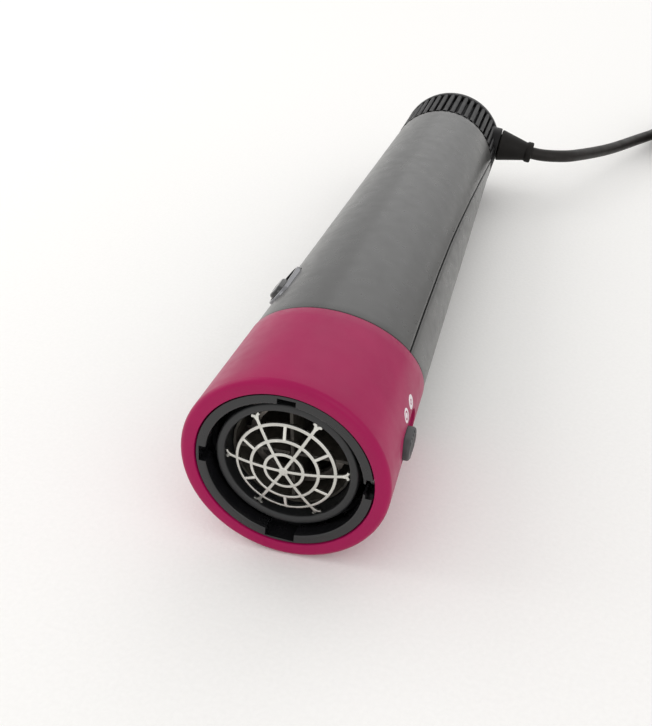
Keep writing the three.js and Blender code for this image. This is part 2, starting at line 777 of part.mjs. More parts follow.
// Everything from here on lies on the supporting surface, so it is placed in the part's frame.
const CORD_PITCH = CORD_DIAMETER + 0.2;
const COIL = { x: 132, y: 189.5, meanR: 27.5, columns: 4, layers: 3, bottom: 1.3 };
const COIL_HALF_WIDTH = (COIL.columns * CORD_PITCH) / 2;
const COIL_TOP = COIL.bottom + COIL.layers * CORD_PITCH;
const TIE = { width: 9.0, thick: 1.0, angle: 215, ease: 1.0 };
const PLUG = { x: 167.3, tail: 153.5, front: 107.5, width: 35.6, height: 25.4, round: 6 };
const PIN = { radius: 2.4, length: 19.0, spacing: 19.0 };

// The lead's route from the relief to the coil: out to the right, down to the surface, then away.
const LEAD_ROUTE = [
  [36.4, 110.2, 20.7],
  [39.5, 110.3, 20.3],
  [42.8, 110.9, 20],
  [47.5, 112.9, 19.5],
  [51.6, 116.1, 18.8],
  [54.8, 120.2, 18],
  [58.1, 126, 16.7],
  [62.4, 133.7, 15.1],
  [66.7, 141.9, 13.5],
  [71.1, 151, 11.9],
  [75.7, 161.1, 10.3],
  [80.5, 171.8, 8.7],
  [85.4, 182.1, 7.2],
  [89.7, 192, 5.7],
  [92.3, 201.5, 4.5],
  [96.8, 211.9, 3.6],
  [103.8, 220.8, 3.2],
  [112.6, 225.8, 3.4],
];

// The lead's end runs from the top of the coil to the plug.
const TAIL_ROUTE = [
  [PLUG.x, 169.9, 13.9],
  [PLUG.x, 165.5, 13.2],
  [PLUG.x, PLUG.tail + 9.6, 12.8],
];

function makeCordRun(points, steps) {
  const path = new THREE.CatmullRomCurve3(points.map((point) => new THREE.Vector3(...point)));
  const section = new THREE.Shape();
  section.absarc(0, 0, CORD_R, 0, 2 * Math.PI);
  const options = { extrudePath: path, steps, curveSegments: 5, bevelEnabled: false };
  return solid(new THREE.ExtrudeGeometry(section, options));
}

function makeCoil() {
  const inner = COIL.meanR - COIL_HALF_WIDTH;
  const outer = COIL.meanR + COIL_HALF_WIDTH;
  const ring = tube(outer, inner, COIL.bottom, COIL_TOP, 36);
  return ring.rotate([90, 0, 0]).translate([COIL.x, COIL.y, 0]);
}

// A hook-and-loop strap round the coil's section.
function makeCoilTie() {
  const { width, thick, angle, ease } = TIE;
  const innerHalf = COIL_HALF_WIDTH + ease;
  const outerHalf = innerHalf + thick;
  const low = COIL.bottom - GAP;
  const high = COIL_TOP + GAP;
  const band = block(-outerHalf, outerHalf, -width / 2, width / 2, low - thick, high + thick);
  const hole = block(-innerHalf, innerHalf, -width, width, low, high);
  return cut(band, hole)
    .translate([COIL.meanR, 0, 0])
    .rotate([0, 0, angle])
    .translate([COIL.x, COIL.y, 0]);
}

function makePlugBody() {
  const { x, tail, front, width, height, round } = PLUG;
  const length = tail - front;
  const grip = new RoundedBoxGeometry(width, length, height, 2, round);
  grip.translate(x, (tail + front) / 2, height / 2);
  const bootProfile = [[0, -4], [8, -4], [5, 9], [0, 9]];
  const boot = turned(bootProfile, 20).translate([x, tail, height / 2]);
  return join(solid(grip), boot);
}

function makePlugPin(side) {
  const { x, front, height } = PLUG;
  const nose = { inset: 0.8, length: 1.2 };
  const pin = turned([
    [0, -PIN.length],
    [PIN.radius - nose.inset, -PIN.length],
    [PIN.radius, nose.length - PIN.length],
    [PIN.radius, -GAP],
    [0, -GAP],
  ], 16);
  return pin.translate([x + (side * PIN.spacing) / 2, front, height / 2]);
}

addTo(part, "cord_lead", makeCordRun(LEAD_ROUTE, 24), cordBlack);
addTo(part, "cord_coil", makeCoil(), cordBlack);
addTo(part, "cord_tail", makeCordRun(TAIL_ROUTE, 2), cordBlack);
addTo(part, "coil_tie", makeCoilTie(), black);
addTo(part, "plug_body", makePlugBody(), black);
addTo(part, "plug_pin_1", makePlugPin(-1), brass);
addTo(part, "plug_pin_2", makePlugPin(1), brass);

export default part;
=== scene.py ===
"""Looks of the hot air brush handle: visual pieces, materials, camera and light round the CAD part."""
import json
import math

import bmesh
import bpy
from mathutils import Matrix, Vector


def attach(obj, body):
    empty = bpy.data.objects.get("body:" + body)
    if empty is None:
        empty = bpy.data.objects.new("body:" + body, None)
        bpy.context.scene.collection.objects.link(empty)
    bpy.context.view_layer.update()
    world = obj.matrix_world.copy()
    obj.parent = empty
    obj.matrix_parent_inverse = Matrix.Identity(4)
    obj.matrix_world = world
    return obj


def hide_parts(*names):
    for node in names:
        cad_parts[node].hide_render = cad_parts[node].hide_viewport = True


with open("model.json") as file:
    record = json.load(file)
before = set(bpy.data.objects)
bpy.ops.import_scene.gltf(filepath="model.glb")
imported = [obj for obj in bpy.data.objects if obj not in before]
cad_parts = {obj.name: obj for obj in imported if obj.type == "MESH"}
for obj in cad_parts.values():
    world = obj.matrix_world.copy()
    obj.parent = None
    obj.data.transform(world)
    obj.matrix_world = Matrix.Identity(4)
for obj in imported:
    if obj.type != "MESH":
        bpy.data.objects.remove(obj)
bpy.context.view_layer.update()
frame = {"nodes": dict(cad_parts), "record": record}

SLOT_OF = {row["node"]: row["material_slot"] for row in frame["record"]["subparts"]}
HOUSING = "housing"
MM = 0.001

# ---------------------------------------------------------------- driving dimensions, millimetres
# Stations run along the handle's axis from the collar's front plane to the tail. Angles round the
# axis start at the top and turn towards the right.

GAP = 0.3
REST_TILT = 0.020203
HANDLE_Y = -123.2506
HANDLE_Z = 25.9240
HANDLE = (
    Matrix.Scale(MM, 4)
    @ Matrix.Translation((0, HANDLE_Y, HANDLE_Z))
    @ Matrix.Rotation(-REST_TILT, 4, "X")
)
ROW = Matrix.Scale(MM, 4)

COLLAR_R = 25.9
COLLAR_EDGE = 1.4
COLLAR_LIP = 0.2
COLLAR_FLUSH = 36.0
BORE_R = 22.1
BORE_DEPTH = 17.0
NOSE_R = 22.6

SHELL_FRONT_R = 24.8
SHELL_TAIL_R = 20.9
SHELL_START = 34.0
SHELL_END = 213.0
SHELL_WALL = 2.0
JOINT_MIDDLE = 46.3
JOINT_SLANT = 0.44
JOINT_GAP = 0.5
PARTING_GAP = 0.6
PARTING = [
    (32.0, 12.2), (62.0, 12.0), (90.0, 11.5), (112.0, 10.8), (132.0, 9.7),
    (155.0, 8.0), (180.0, 5.7), (200.0, 3.4), (215.0, 1.4),
]

LOCK_ANGLE = math.radians(91)
LOCK_TRACK = {"width": 7.4, "from": 14.0, "to": 32.0, "floor": 23.9}
LOCK_KNOB = {"width": 6.4, "from": 15.0, "to": 25.0, "top": 27.0}
STEM = {"width": 2.6, "from": 18.4, "to": 22.4, "travel": 6.0}
LATCH = {"width": 5.0, "from": 4.0, "to": 27.0, "low": 20.6, "high": 21.3, "tongue": 20.2}
MARK_ANGLE = math.radians(76.3)
MARK_STATIONS = (22.4, 28.4)
MARK_R = 1.9

SWITCH_ANGLE = math.radians(-51)
SWITCH = {"width": 6.0, "from": 53.2, "to": 69.6, "top": 25.0}
BEZEL_WIDTH = 0.8
SWITCH_KNOB = {"width": 4.8, "from": 54.0, "to": 62.2, "top": 26.3, "travel": 6.0}
SWITCH_FLOOR = 21.6

TUBE_OUTER_R = 17.7
TUBE_INNER_R = 15.5
TUBE_FRONT = 2.8
TUBE_END = 62.0

WEB = {"radius": 15.0, "hub": 0.8, "edge": 3.4, "thick": 0.7, "bar": 0.8}
WEB_RINGS = (4.7, 8.3, 12.2)
WEB_SPOKES = 6
WEB_ANGLE = math.radians(31)

RING_START = 213.4
RING_END = 239.0
RING_OUTER_R = 21.1
RING_BASE_R = 20.1
RING_INNER_R = 18.9
RIB_COUNT = 44
BOSS = {"radius": 6.9, "from": 16.0, "to": 21.3}
BOSS_RISE = 2.0  # how far over the handle's axis the boss meets the ring
CAP_END = 246.0
RELIEF_STATION = 233.5
RELIEF_ROOT_R = 6.6
RELIEF_NECK_R = 4.3
RELIEF_START_X = 8.0
RELIEF_END_X = 36.0
RELIEF_DROOP = math.radians(9)
RELIEF_DROP = 0.4

CORD_DIAMETER = 0.005

# ---------------------------------------------------------------- camera

CAMERA_PLACE = (0.05515, -0.27629, 0.16640)
CAMERA_RIGHT = (0.9615, 0.2746, -0.0056)
CAMERA_UP = (-0.1491, 0.5387, 0.8292)
CAMERA_BACK = (0.2307, -0.7965, 0.5589)
CAMERA_LENS = 45.38


def add_camera():
    """The camera at the photograph's place and angle, all in focus."""
    data = bpy.data.cameras.new("camera")
    data.lens = CAMERA_LENS
    data.sensor_width = 36.0
    camera = bpy.data.objects.new("camera", data)
    axes = Matrix((CAMERA_RIGHT, CAMERA_UP, CAMERA_BACK)).transposed().to_4x4()
    camera.matrix_world = Matrix.Translation(CAMERA_PLACE) @ axes
    bpy.context.scene.collection.objects.link(camera)
    bpy.context.scene.camera = camera


add_camera()

# ---------------------------------------------------------------- cord

COIL_CENTRE = (0.132, 0.1895)
COIL_COLUMNS = (0.0353, 0.0301, 0.0249, 0.0197)
COIL_LAYERS = (0.0039, 0.0091, 0.0143)
COIL_STEP = 15  # degrees between two points of a turn
RAMP = 0.3  # the share of a turn in which the cord moves on to its next place
LEAD_ROUTE = [
    (0.0330, 0.1102, 0.0212),
    (0.0364, 0.1102, 0.0207),
    (0.0395, 0.1103, 0.0203),
    (0.0428, 0.1109, 0.0200),
    (0.0475, 0.1129, 0.0195),
    (0.0516, 0.1161, 0.0188),
    (0.0548, 0.1202, 0.0180),
    (0.0581, 0.1260, 0.0167),
    (0.0624, 0.1337, 0.0151),
    (0.0667, 0.1419, 0.0135),
    (0.0711, 0.1510, 0.0119),
    (0.0757, 0.1611, 0.0103),
    (0.0805, 0.1718, 0.0087),
    (0.0854, 0.1821, 0.0072),
    (0.0897, 0.1920, 0.0057),
    (0.0923, 0.2015, 0.0045),
    (0.0968, 0.2119, 0.0036),
    (0.1038, 0.2208, 0.0032),
    (0.1126, 0.2258, 0.0034),
]
TAIL_ROUTE = [
    (0.1673, 0.1800, 0.0143),
    (0.1673, 0.1740, 0.0141),
    (0.1673, 0.1699, 0.0138),
    (0.1673, 0.1655, 0.0132),
    (0.1673, 0.1625, 0.0128),
    (0.1673, 0.1580, 0.0127),
]


def ease(share):
    """A smooth step from 0 to 1."""
    share = min(max(share, 0.0), 1.0)
    return share * share * (3 - 2 * share)


def coil_stops():
    """(turn, radius, height) where the cord has settled, in the order it is wound."""
    low, middle, high = COIL_LAYERS
    stops = [(turn, radius, low) for turn, radius in enumerate(COIL_COLUMNS)]
    inner_first = tuple(reversed(COIL_COLUMNS))
    stops += [(4 + turn, radius, middle) for turn, radius in enumerate(inner_first)]
    stops.append((8, COIL_COLUMNS[1], high))
    stops.append((8.85, COIL_COLUMNS[0], high))
    return stops


def coil_place(turn):
    """(radius, height) of the cord after that many turns."""
    stops = coil_stops()
    _, radius, height = stops[0]
    for start, next_radius, next_height in stops[1:]:
        share = ease((turn - start) / RAMP + 1)
        radius += (next_radius - radius) * share
        height += (next_height - height) * share
    bulge = math.exp(-((turn - 8.925) / 0.06) ** 2)
    return radius + 0.0022 * bulge, height + 0.0008 * bulge


def coil_route():
    """The wound length: clockwise from the far side, ending at the right side."""
    points = []
    for step in range(int(9.25 * 360 / COIL_STEP)):
        turn = step * COIL_STEP / 360
        radius, height = coil_place(turn)
        angle = math.radians(90) - 2 * math.pi * turn
        x = COIL_CENTRE[0] + radius * math.cos(angle)
        y = COIL_CENTRE[1] + radius * math.sin(angle)
        points.append((x, y, height))
    return points


def add_cord():
    """The lead as one open curve from the relief through the coil to the plug."""
    points = LEAD_ROUTE + coil_route() + TAIL_ROUTE
    curve = bpy.data.curves.new("cord", "CURVE")
    curve.dimensions = "3D"
    curve.bevel_depth = CORD_DIAMETER / 2
    curve.bevel_resolution = 6
    curve.resolution_u = 4
    curve.use_fill_caps = True
    spline = curve.splines.new("BEZIER")
    spline.bezier_points.add(len(points) - 1)
    for knot, place in zip(spline.bezier_points, points):
        knot.co = place
        knot.handle_left_type = "AUTO"
        knot.handle_right_type = "AUTO"
    cord = bpy.data.objects.new("cord", curve)
    bpy.context.scene.collection.objects.link(cord)
    return cord


cord = add_cord()

# ---------------------------------------------------------------- material nodes


def linear(red, green, blue):
    """A colour given as 0 to 255 screen values, as the shader wants it."""
    values = []
    for value in (red, green, blue):
        share = value / 255
        values.append(share / 12.92 if share <= 0.04045 else ((share + 0.055) / 1.055) ** 2.4)
    return (*values, 1.0)


class Nodes:
    """A material's node tree with short ways to add nodes to it."""

    def __init__(self, name):
        self.material = bpy.data.materials.new(name)
        self.material.use_nodes = True
        self.tree = self.material.node_tree
        self.shader = self.tree.nodes["Principled BSDF"]
        self.place = self.tree.nodes.new("ShaderNodeTexCoord").outputs["Object"]

    def add(self, kind, **settings):
        node = self.tree.nodes.new(kind)
        for key, value in settings.items():
            setattr(node, key, value)
        return node

    def link(self, output, socket):
        self.tree.links.new(output, socket)

    def stretched(self, x, y, z):
        """The place scaled by axis, which draws a pattern out along the small ones."""
        node = self.add("ShaderNodeMapping")
        self.link(self.place, node.inputs["Vector"])
        node.inputs["Scale"].default_value = (x, y, z)
        return node.outputs["Vector"]

    def noise(self, scale, detail=2.0, vector=None):
        node = self.add("ShaderNodeTexNoise")
        self.link(vector or self.place, node.inputs["Vector"])
        node.inputs["Scale"].default_value = scale
        node.inputs["Detail"].default_value = detail
        return node.outputs["Fac"]

    def spread(self, value, low, high, start=0.3, end=0.7):
        node = self.add("ShaderNodeMapRange")
        self.link(value, node.inputs["Value"])
        for name, number in (("From Min", start), ("From Max", end), ("To Min", low), ("To Max", high)):
            node.inputs[name].default_value = number
        return node.outputs["Result"]

    def mix(self, factor, first, second):
        node = self.add("ShaderNodeMix", data_type="RGBA")
        self.link(factor, node.inputs["Factor"])
        for socket, colour in ((node.inputs["A"], first), (node.inputs["B"], second)):
            if isinstance(colour, tuple):
                socket.default_value = colour
            else:
                self.link(colour, socket)
        return node.outputs["Result"]

    def bump(self, height, strength, distance):
        node = self.add("ShaderNodeBump")
        node.inputs["Strength"].default_value = strength
        node.inputs["Distance"].default_value = distance
        self.link(height, node.inputs["Height"])
        self.link(node.outputs["Normal"], self.shader.inputs["Normal"])

    def edges(self, low, high):
        """0 on flats to 1 on outer edges."""
        node = self.add("ShaderNodeNewGeometry")
        return self.spread(node.outputs["Pointiness"], 0.0, 1.0, low, high)

    def finish(self, colour, roughness):
        self.link(colour, self.shader.inputs["Base Color"])
        self.link(roughness, self.shader.inputs["Roughness"])
        return self.material


def shade(colour, factor):
    """The same colour, lighter or darker."""
    return (*[min(1.0, channel * factor) for channel in colour[:3]], 1.0)


def moulded(name, colour, roughness, grain=0.25, grain_scale=2600.0, edge_wear_and_highlight=1.35, coat=0.0, gloss=0.5):
    """A moulded plastic: fine surface grain, slight mottling, outer edges a little lighter as handling wear and as a
    painted edge highlight.
    """
    nodes = Nodes(name)
    mottle = nodes.spread(nodes.noise(70.0, 4.0), 0.0, 1.0)
    body = nodes.mix(mottle, shade(colour, 0.94), shade(colour, 1.05))
    # Outer edges lightened by pointiness: handling wear together with a painted edge highlight.
    worn_and_highlit = nodes.mix(nodes.edges(0.53, 0.62), body, shade(colour, edge_wear_and_highlight))
    nodes.bump(nodes.noise(grain_scale, 3.0), grain, 0.00006)
    nodes.shader.inputs["Coat Weight"].default_value = coat
    nodes.shader.inputs["Coat Roughness"].default_value = 0.12
    nodes.shader.inputs["Specular IOR Level"].default_value = gloss
    rough = nodes.spread(nodes.noise(240.0, 3.0), roughness - 0.04, roughness + 0.05)
    return nodes.finish(worn_and_highlit, rough)


def sheet_metal(name, colour, roughness, along=(900.0, 60.0, 900.0)):
    """Bare metal with fine drawn lines and faint heat tint."""
    nodes = Nodes(name)
    lines = nodes.noise(1.0, 5.0, nodes.stretched(*along))
    tint = nodes.spread(nodes.noise(110.0, 3.0), 0.0, 1.0)
    body = nodes.mix(tint, shade(colour, 0.88), shade(colour, 1.06))
    # Outer edges lightened by pointiness: wear together with a painted edge highlight.
    worn_and_highlit = nodes.mix(nodes.edges(0.52, 0.6), body, shade(colour, 1.25))
    nodes.bump(lines, 0.2, 0.00003)
    nodes.shader.inputs["Metallic"].default_value = 1.0
    return nodes.finish(worn_and_highlit, nodes.spread(lines, roughness - 0.08, roughness + 0.1))


def wound(name, colour, pitch):
    """Turns of thin wire side by side."""
    nodes = Nodes(name)
    wave = nodes.add("ShaderNodeTexWave", bands_direction="Y")
    nodes.link(nodes.place, wave.inputs["Vector"])
    wave.inputs["Scale"].default_value = 1 / pitch
    wave.inputs["Distortion"].default_value = 0.6
    body = nodes.mix(wave.outputs["Fac"], shade(colour, 0.45), shade(colour, 1.15))
    nodes.bump(wave.outputs["Fac"], 0.6, 0.0002)
    nodes.shader.inputs["Metallic"].default_value = 0.9
    return nodes.finish(body, nodes.spread(nodes.noise(300.0), 0.28, 0.42))


def layered(name, colour):
    """Pressed mica: pale flakes in a warm ground."""
    nodes = Nodes(name)
    cells = nodes.add("ShaderNodeTexVoronoi", feature="F1")
    nodes.link(nodes.place, cells.inputs["Vector"])
    cells.inputs["Scale"].default_value = 900.0
    flakes = nodes.spread(cells.outputs["Color"], 0.0, 1.0)
    body = nodes.mix(flakes, shade(colour, 0.75), shade(colour, 1.15))
    nodes.bump(flakes, 0.3, 0.0001)
    return nodes.finish(body, nodes.spread(nodes.noise(400.0), 0.45, 0.65))


def circuit(name, colour):
    """A coated board with the faint grid of its tracks."""
    nodes = Nodes(name)
    bricks = nodes.add("ShaderNodeTexBrick", offset=0.5)
    nodes.link(nodes.place, bricks.inputs["Vector"])
    bricks.inputs["Scale"].default_value = 220.0
    bricks.inputs["Color1"].default_value = colour
    bricks.inputs["Color2"].default_value = shade(colour, 1.3)
    bricks.inputs["Mortar"].default_value = shade(colour, 1.9)
    nodes.bump(bricks.outputs["Fac"], 0.3, 0.00005)
    return nodes.finish(bricks.outputs["Color"], nodes.spread(nodes.noise(300.0), 0.35, 0.5))


def sheathed(name, colour):
    """The lead's soft sheath: matte, with fine bumps and dust."""
    nodes = Nodes(name)
    dust = nodes.spread(nodes.noise(420.0, 5.0), 0.0, 1.0, 0.45, 0.75)
    body = nodes.mix(dust, colour, shade(colour, 1.5))
    nodes.bump(nodes.noise(1500.0, 4.0), 0.25, 0.0001)
    nodes.shader.inputs["Specular IOR Level"].default_value = 0.25
    return nodes.finish(body, nodes.spread(nodes.noise(160.0), 0.42, 0.56))


def looped(name, colour):
    """A hook-and-loop strap: short tangled pile."""
    nodes = Nodes(name)
    pile = nodes.noise(3200.0, 6.0)
    body = nodes.mix(nodes.spread(pile, 0.0, 1.0), shade(colour, 0.5), shade(colour, 1.9))
    nodes.bump(pile, 0.8, 0.0003)
    nodes.shader.inputs["Sheen Weight"].default_value = 0.3
    return nodes.finish(body, nodes.spread(nodes.noise(500.0), 0.8, 0.95))


def plated(name, colour, roughness):
    """Bright plating with hairline scratches."""
    nodes = Nodes(name)
    scratches = nodes.noise(1.0, 2.0, nodes.stretched(2500.0, 200.0, 700.0))
    haze = nodes.spread(nodes.noise(260.0, 3.0), 0.0, 1.0)
    body = nodes.mix(haze, shade(colour, 0.95), shade(colour, 1.03))
    nodes.bump(scratches, 0.06, 0.00002)
    nodes.shader.inputs["Metallic"].default_value = 1.0
    return nodes.finish(body, nodes.spread(scratches, roughness, roughness + 0.08))


MAGENTA = linear(154, 10, 76)
SHELL_GREY = linear(68, 68, 67)
MATERIALS = {
    "collar_satin": moulded("collar_satin", MAGENTA, 0.36, 0.12, 1800.0, 1.15, 0.0, 0.2),
    "shell_grey": moulded("shell_grey", SHELL_GREY, 0.3, 0.3, 3200.0, 1.15, 0.0, 0.6),
    "black_moulding": moulded("black_moulding", linear(21, 21, 23), 0.24, 0.12, 2200.0, 1.6, 0.0, 0.6),
    "intake_black": moulded("intake_black", linear(18, 17, 18), 0.42, 0.2, 2200.0, 1.3, 0.0, 0.2),
    "heat_plastic": moulded("heat_plastic", linear(31, 32, 33), 0.38, 0.3, 2000.0, 1.5),
    "knob_plastic": moulded("knob_plastic", linear(56, 56, 58), 0.4, 0.25, 2400.0, 1.5),
    "knob_gloss": moulded("knob_gloss", linear(20, 20, 22), 0.14, 0.04, 1200.0, 1.4, 0.6),
    "soft_rubber": moulded("soft_rubber", linear(24, 22, 20), 0.6, 0.35, 1600.0, 1.3, 0.0, 0.2),
    "plug_moulding": moulded("plug_moulding", linear(34, 34, 34), 0.5, 0.35, 1500.0, 1.5),
    "bright_chrome": plated("bright_chrome", linear(128, 128, 131), 0.12),
    "pin_brass": plated("pin_brass", linear(214, 206, 184), 0.16),
    "etched_steel": sheet_metal("etched_steel", linear(205, 204, 198), 0.3),
    "spring_steel": sheet_metal("spring_steel", linear(170, 170, 170), 0.34),
    "heating_wire": wound("heating_wire", linear(140, 134, 128), 0.0008),
    "copper_winding": wound("copper_winding", linear(178, 112, 62), 0.0006),
    # The mica gets a dark grey-brown instead of its own pale colour: painted shade, so the inside of the outlet tube
    # looks black.
    "mica_sheet": layered("mica_sheet", linear(64, 60, 54)),
    "board_green": circuit("board_green", linear(46, 90, 62)),
    "cord_sheath": sheathed("cord_sheath", linear(30, 27, 25)),
    "tie_strap": looped("tie_strap", linear(30, 30, 31)),
    "filter_mesh": looped("filter_mesh", linear(16, 16, 17)),
}
MARK_WHITE = moulded("mark_white", linear(226, 218, 222), 0.5, 0.3, 2600.0, 1.05)

# ---------------------------------------------------------------- shapes
# A shape is (vertices, faces) in millimetres. Until add() places it, it is in the handle's frame.


def soften(outline, radius, steps=4):
    """A closed outline with its corners rounded, except those on the axis."""
    result = []
    for index, point in enumerate(outline):
        corner = Vector(point)
        back = Vector(outline[index - 1]) - corner
        ahead = Vector(outline[(index + 1) % len(outline)]) - corner
        reach = min(radius, 0.45 * back.length, 0.45 * ahead.length)
        if corner.x == 0 or reach == 0:
            result.append((corner.x, corner.y))
            continue
        start = corner + back.normalized() * reach
        end = corner + ahead.normalized() * reach
        for step in range(steps + 1):
            share = step / steps
            place = start.lerp(corner, share).lerp(corner.lerp(end, share), share)
            result.append((place.x, place.y))
    return result


def swept(profile_at, sides):
    """A ring-shaped solid. profile_at(angle) gives its section there as (radius, station) pairs."""
    verts = []
    faces = []
    for side in range(sides):
        angle = 2 * math.pi * side / sides
        section = profile_at(angle)
        verts += [(r * math.sin(angle), s, r * math.cos(angle)) for r, s in section]
    count = len(verts) // sides
    for side in range(sides):
        here = side * count
        there = ((side + 1) % sides) * count
        for index in range(count):
            after = (index + 1) % count
            faces.append((here + index, here + after, there + after, there + index))
    return verts, faces


def turned(profile, edge=0.3, sides=128):
    """A solid of revolution with rounded edges."""
    section = soften(profile, edge)
    return swept(lambda angle: section, sides)


def stacked(layers):
    """A solid from outlines of equal length. Each layer is (outline, height), lowest first."""
    verts = []
    faces = []
    for outline, height in layers:
        verts += [(x, y, height) for x, y in outline]
    count = len(layers[0][0])
    for layer in range(len(layers) - 1):
        low = layer * count
        high = low + count
        for index in range(count):
            after = (index + 1) % count
            faces.append((low + index, low + after, high + after, high + index))
    faces.append(tuple(reversed(range(count))))
    faces.append(tuple(range(len(verts) - count, len(verts))))
    return verts, faces


def oblong(width, start, end, inset=0.0, steps=16):
    """The outline of a slot with round ends, long in Y."""
    radius = width / 2 - inset
    points = []
    for centre, first in ((start + width / 2, math.pi), (end - width / 2, 0.0)):
        for step in range(steps + 1):
            angle = first + math.pi * step / steps
            points.append((radius * math.cos(angle), centre + radius * math.sin(angle)))
    return points


def crowned(width, start, end, low, high, edge):
    """An oblong block whose top edge is rounded."""
    layers = [(oblong(width, start, end), low)]
    steps = 5
    for step in range(steps + 1):
        angle = math.pi / 2 * step / steps
        inset = edge * (1 - math.cos(angle))
        layers.append((oblong(width, start, end, inset), high - edge + edge * math.sin(angle)))
    return stacked(layers)


def box(x0, x1, y0, y1, z0, z1):
    """A plain box, for cutting with."""
    outline = [(x0, y0), (x1, y0), (x1, y1), (x0, y1)]
    return stacked([(outline, z0), (outline, z1)])


def bar(width, length, height, edge):
    """A box with all upright and top edges rounded, centred in X and Y, standing on zero."""
    half = (width / 2, length / 2)
    corners = [(-half[0], -half[1]), (half[0], -half[1]), half, (-half[0], half[1])]
    steps = 4
    layers = []
    for step in range(steps + 1):
        angle = math.pi / 2 * step / steps
        inset = edge * (1 - math.sin(angle))
        outline = [(x - math.copysign(inset, x), y - math.copysign(inset, y)) for x, y in corners]
        layers.append((soften(outline, edge), edge * (1 - math.cos(angle))))
    layers += [(outline, height - low) for outline, low in reversed(layers)]
    return stacked(layers)


def moved(shape, matrix):
    verts, faces = shape
    return [tuple(matrix @ Vector(vert)) for vert in verts], faces


def around(angle):
    """Turns what was made at the top of the handle to its angle."""
    return Matrix.Rotation(angle, 4, "Y")


def joined(*shapes):
    verts = []
    faces = []
    for more_verts, more_faces in shapes:
        start = len(verts)
        verts += more_verts
        faces += [tuple(start + index for index in face) for face in more_faces]
    return verts, faces


def new_object(name, shape, matrix, material):
    """A closed mesh object in the row frame."""
    verts, faces = moved(shape, matrix)
    mesh = bpy.data.meshes.new(name)
    mesh.from_pydata(verts, [], faces)
    clean = bmesh.new()
    clean.from_mesh(mesh)
    bmesh.ops.remove_doubles(clean, verts=clean.verts, dist=1e-7)
    bmesh.ops.dissolve_degenerate(clean, edges=clean.edges, dist=1e-7)
    bmesh.ops.recalc_face_normals(clean, faces=clean.faces)
    clean.to_mesh(mesh)
    clean.free()
    mesh.materials.append(material)
    result = bpy.data.objects.new(name, mesh)
    bpy.context.scene.collection.objects.link(result)
    return result


def carve(target, cutters):
    """Takes the cutters' volume out of the target."""
    for cutter in cutters:
        modifier = target.modifiers.new("cut", "BOOLEAN")
        modifier.object = cutter
        modifier.solver = "EXACT"
    scene_state = bpy.context.evaluated_depsgraph_get()
    target.data = bpy.data.meshes.new_from_object(target.evaluated_get(scene_state))
    target.modifiers.clear()
    for cutter in cutters:
        bpy.data.objects.remove(cutter)


def add(name, shape, node, body=HOUSING, matrix=HANDLE, cuts=(), slot=None, material=None, crease=32):
    """Places a piece on its body: one that stands for a CAD node, or a detail with a slot of its own."""
    slot_name = slot or SLOT_OF[node]
    piece = new_object(name, shape, matrix, material or MATERIALS[slot_name])
    if cuts:
        carve(piece, [new_object("cutter", cut, matrix, piece.data.materials[0]) for cut in cuts])
    piece.data.shade_smooth()
    piece.data.set_sharp_from_angle(angle=math.radians(crease))
    if node:
        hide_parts(node)
    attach(piece, body)
    return piece


# ---------------------------------------------------------------- collar and lock


def shell_radius(station):
    share = (station - SHELL_START) / (SHELL_END - SHELL_START)
    return SHELL_FRONT_R + (SHELL_TAIL_R - SHELL_FRONT_R) * share


def collar_radius(station):
    if station > COLLAR_FLUSH:
        return shell_radius(station) + COLLAR_LIP
    share = (station - COLLAR_EDGE) / (COLLAR_FLUSH - COLLAR_EDGE)
    return COLLAR_R + (shell_radius(COLLAR_FLUSH) + COLLAR_LIP - COLLAR_R) * share


def joint_station(angle):
    """Where the slanted joint between collar and shell lies at that angle."""
    return JOINT_MIDDLE - JOINT_SLANT * shell_radius(JOINT_MIDDLE) * math.cos(angle)


def collar_section(angle):
    section = []
    steps = 10
    for step in range(steps + 1):
        turn = math.pi / 2 * (step / steps - 1)
        radius = COLLAR_R - COLLAR_EDGE + COLLAR_EDGE * math.cos(turn)
        section.append((radius, COLLAR_EDGE + COLLAR_EDGE * math.sin(turn)))
    end = joint_station(angle)
    edge = 0.35
    for step in range(1, steps + 1):
        station = COLLAR_EDGE + (end - edge - COLLAR_EDGE) * step / steps
        section.append((collar_radius(station), station))
    section.append((collar_radius(end) - 0.1, end - 0.1))
    section.append((collar_radius(end) - edge, end))
    inner = [(NOSE_R, end), (NOSE_R, BORE_DEPTH), (BORE_R, BORE_DEPTH), (BORE_R, 0.3)]
    return section + inner + [(BORE_R + 0.1, 0.1), (BORE_R + 0.3, 0)]


def lock_slot():
    half = STEM["width"] / 2 + GAP
    end = STEM["to"] + STEM["travel"] + GAP
    return box(-half, half, STEM["from"] - GAP, end, 15, 30)


def lock_recess():
    """The lock's track: an oblong pocket that widens a little at the surface."""
    width, start, end = LOCK_TRACK["width"], LOCK_TRACK["from"], LOCK_TRACK["to"]
    lip = 0.35
    top = collar_radius(start)
    layers = [
        (oblong(width, start, end, 0.5), LOCK_TRACK["floor"]),
        (oblong(width, start, end), LOCK_TRACK["floor"] + 0.4),
        (oblong(width, start, end), top - 1.0),
        (oblong(width, start, end, -lip), top - 0.1),
        (oblong(width, start, end, -lip), top + 4),
    ]
    return stacked(layers)


def add_collar():
    turn = around(LOCK_ANGLE)
    cuts = [moved(lock_recess(), turn), moved(lock_slot(), turn)]
    add("collar_shell", swept(collar_section, 160), "collar", cuts=cuts)


def mark_shape(inner, outer, station):
    """A flat ring, or a dot if inner is 0, bent to the collar's surface."""
    steps = 40
    print_height = 0.04
    depth = 0.2
    profile = soften([(inner, -depth), (outer, -depth), (outer, print_height), (inner, print_height)], 0.03)
    verts, faces = swept(lambda angle: profile, steps)
    bent = []
    for x, height, y in verts:
        place = station + y
        radius = collar_radius(place) + height
        bent.append((radius * math.sin(x / radius), place, radius * math.cos(x / radius)))
    return bent, faces


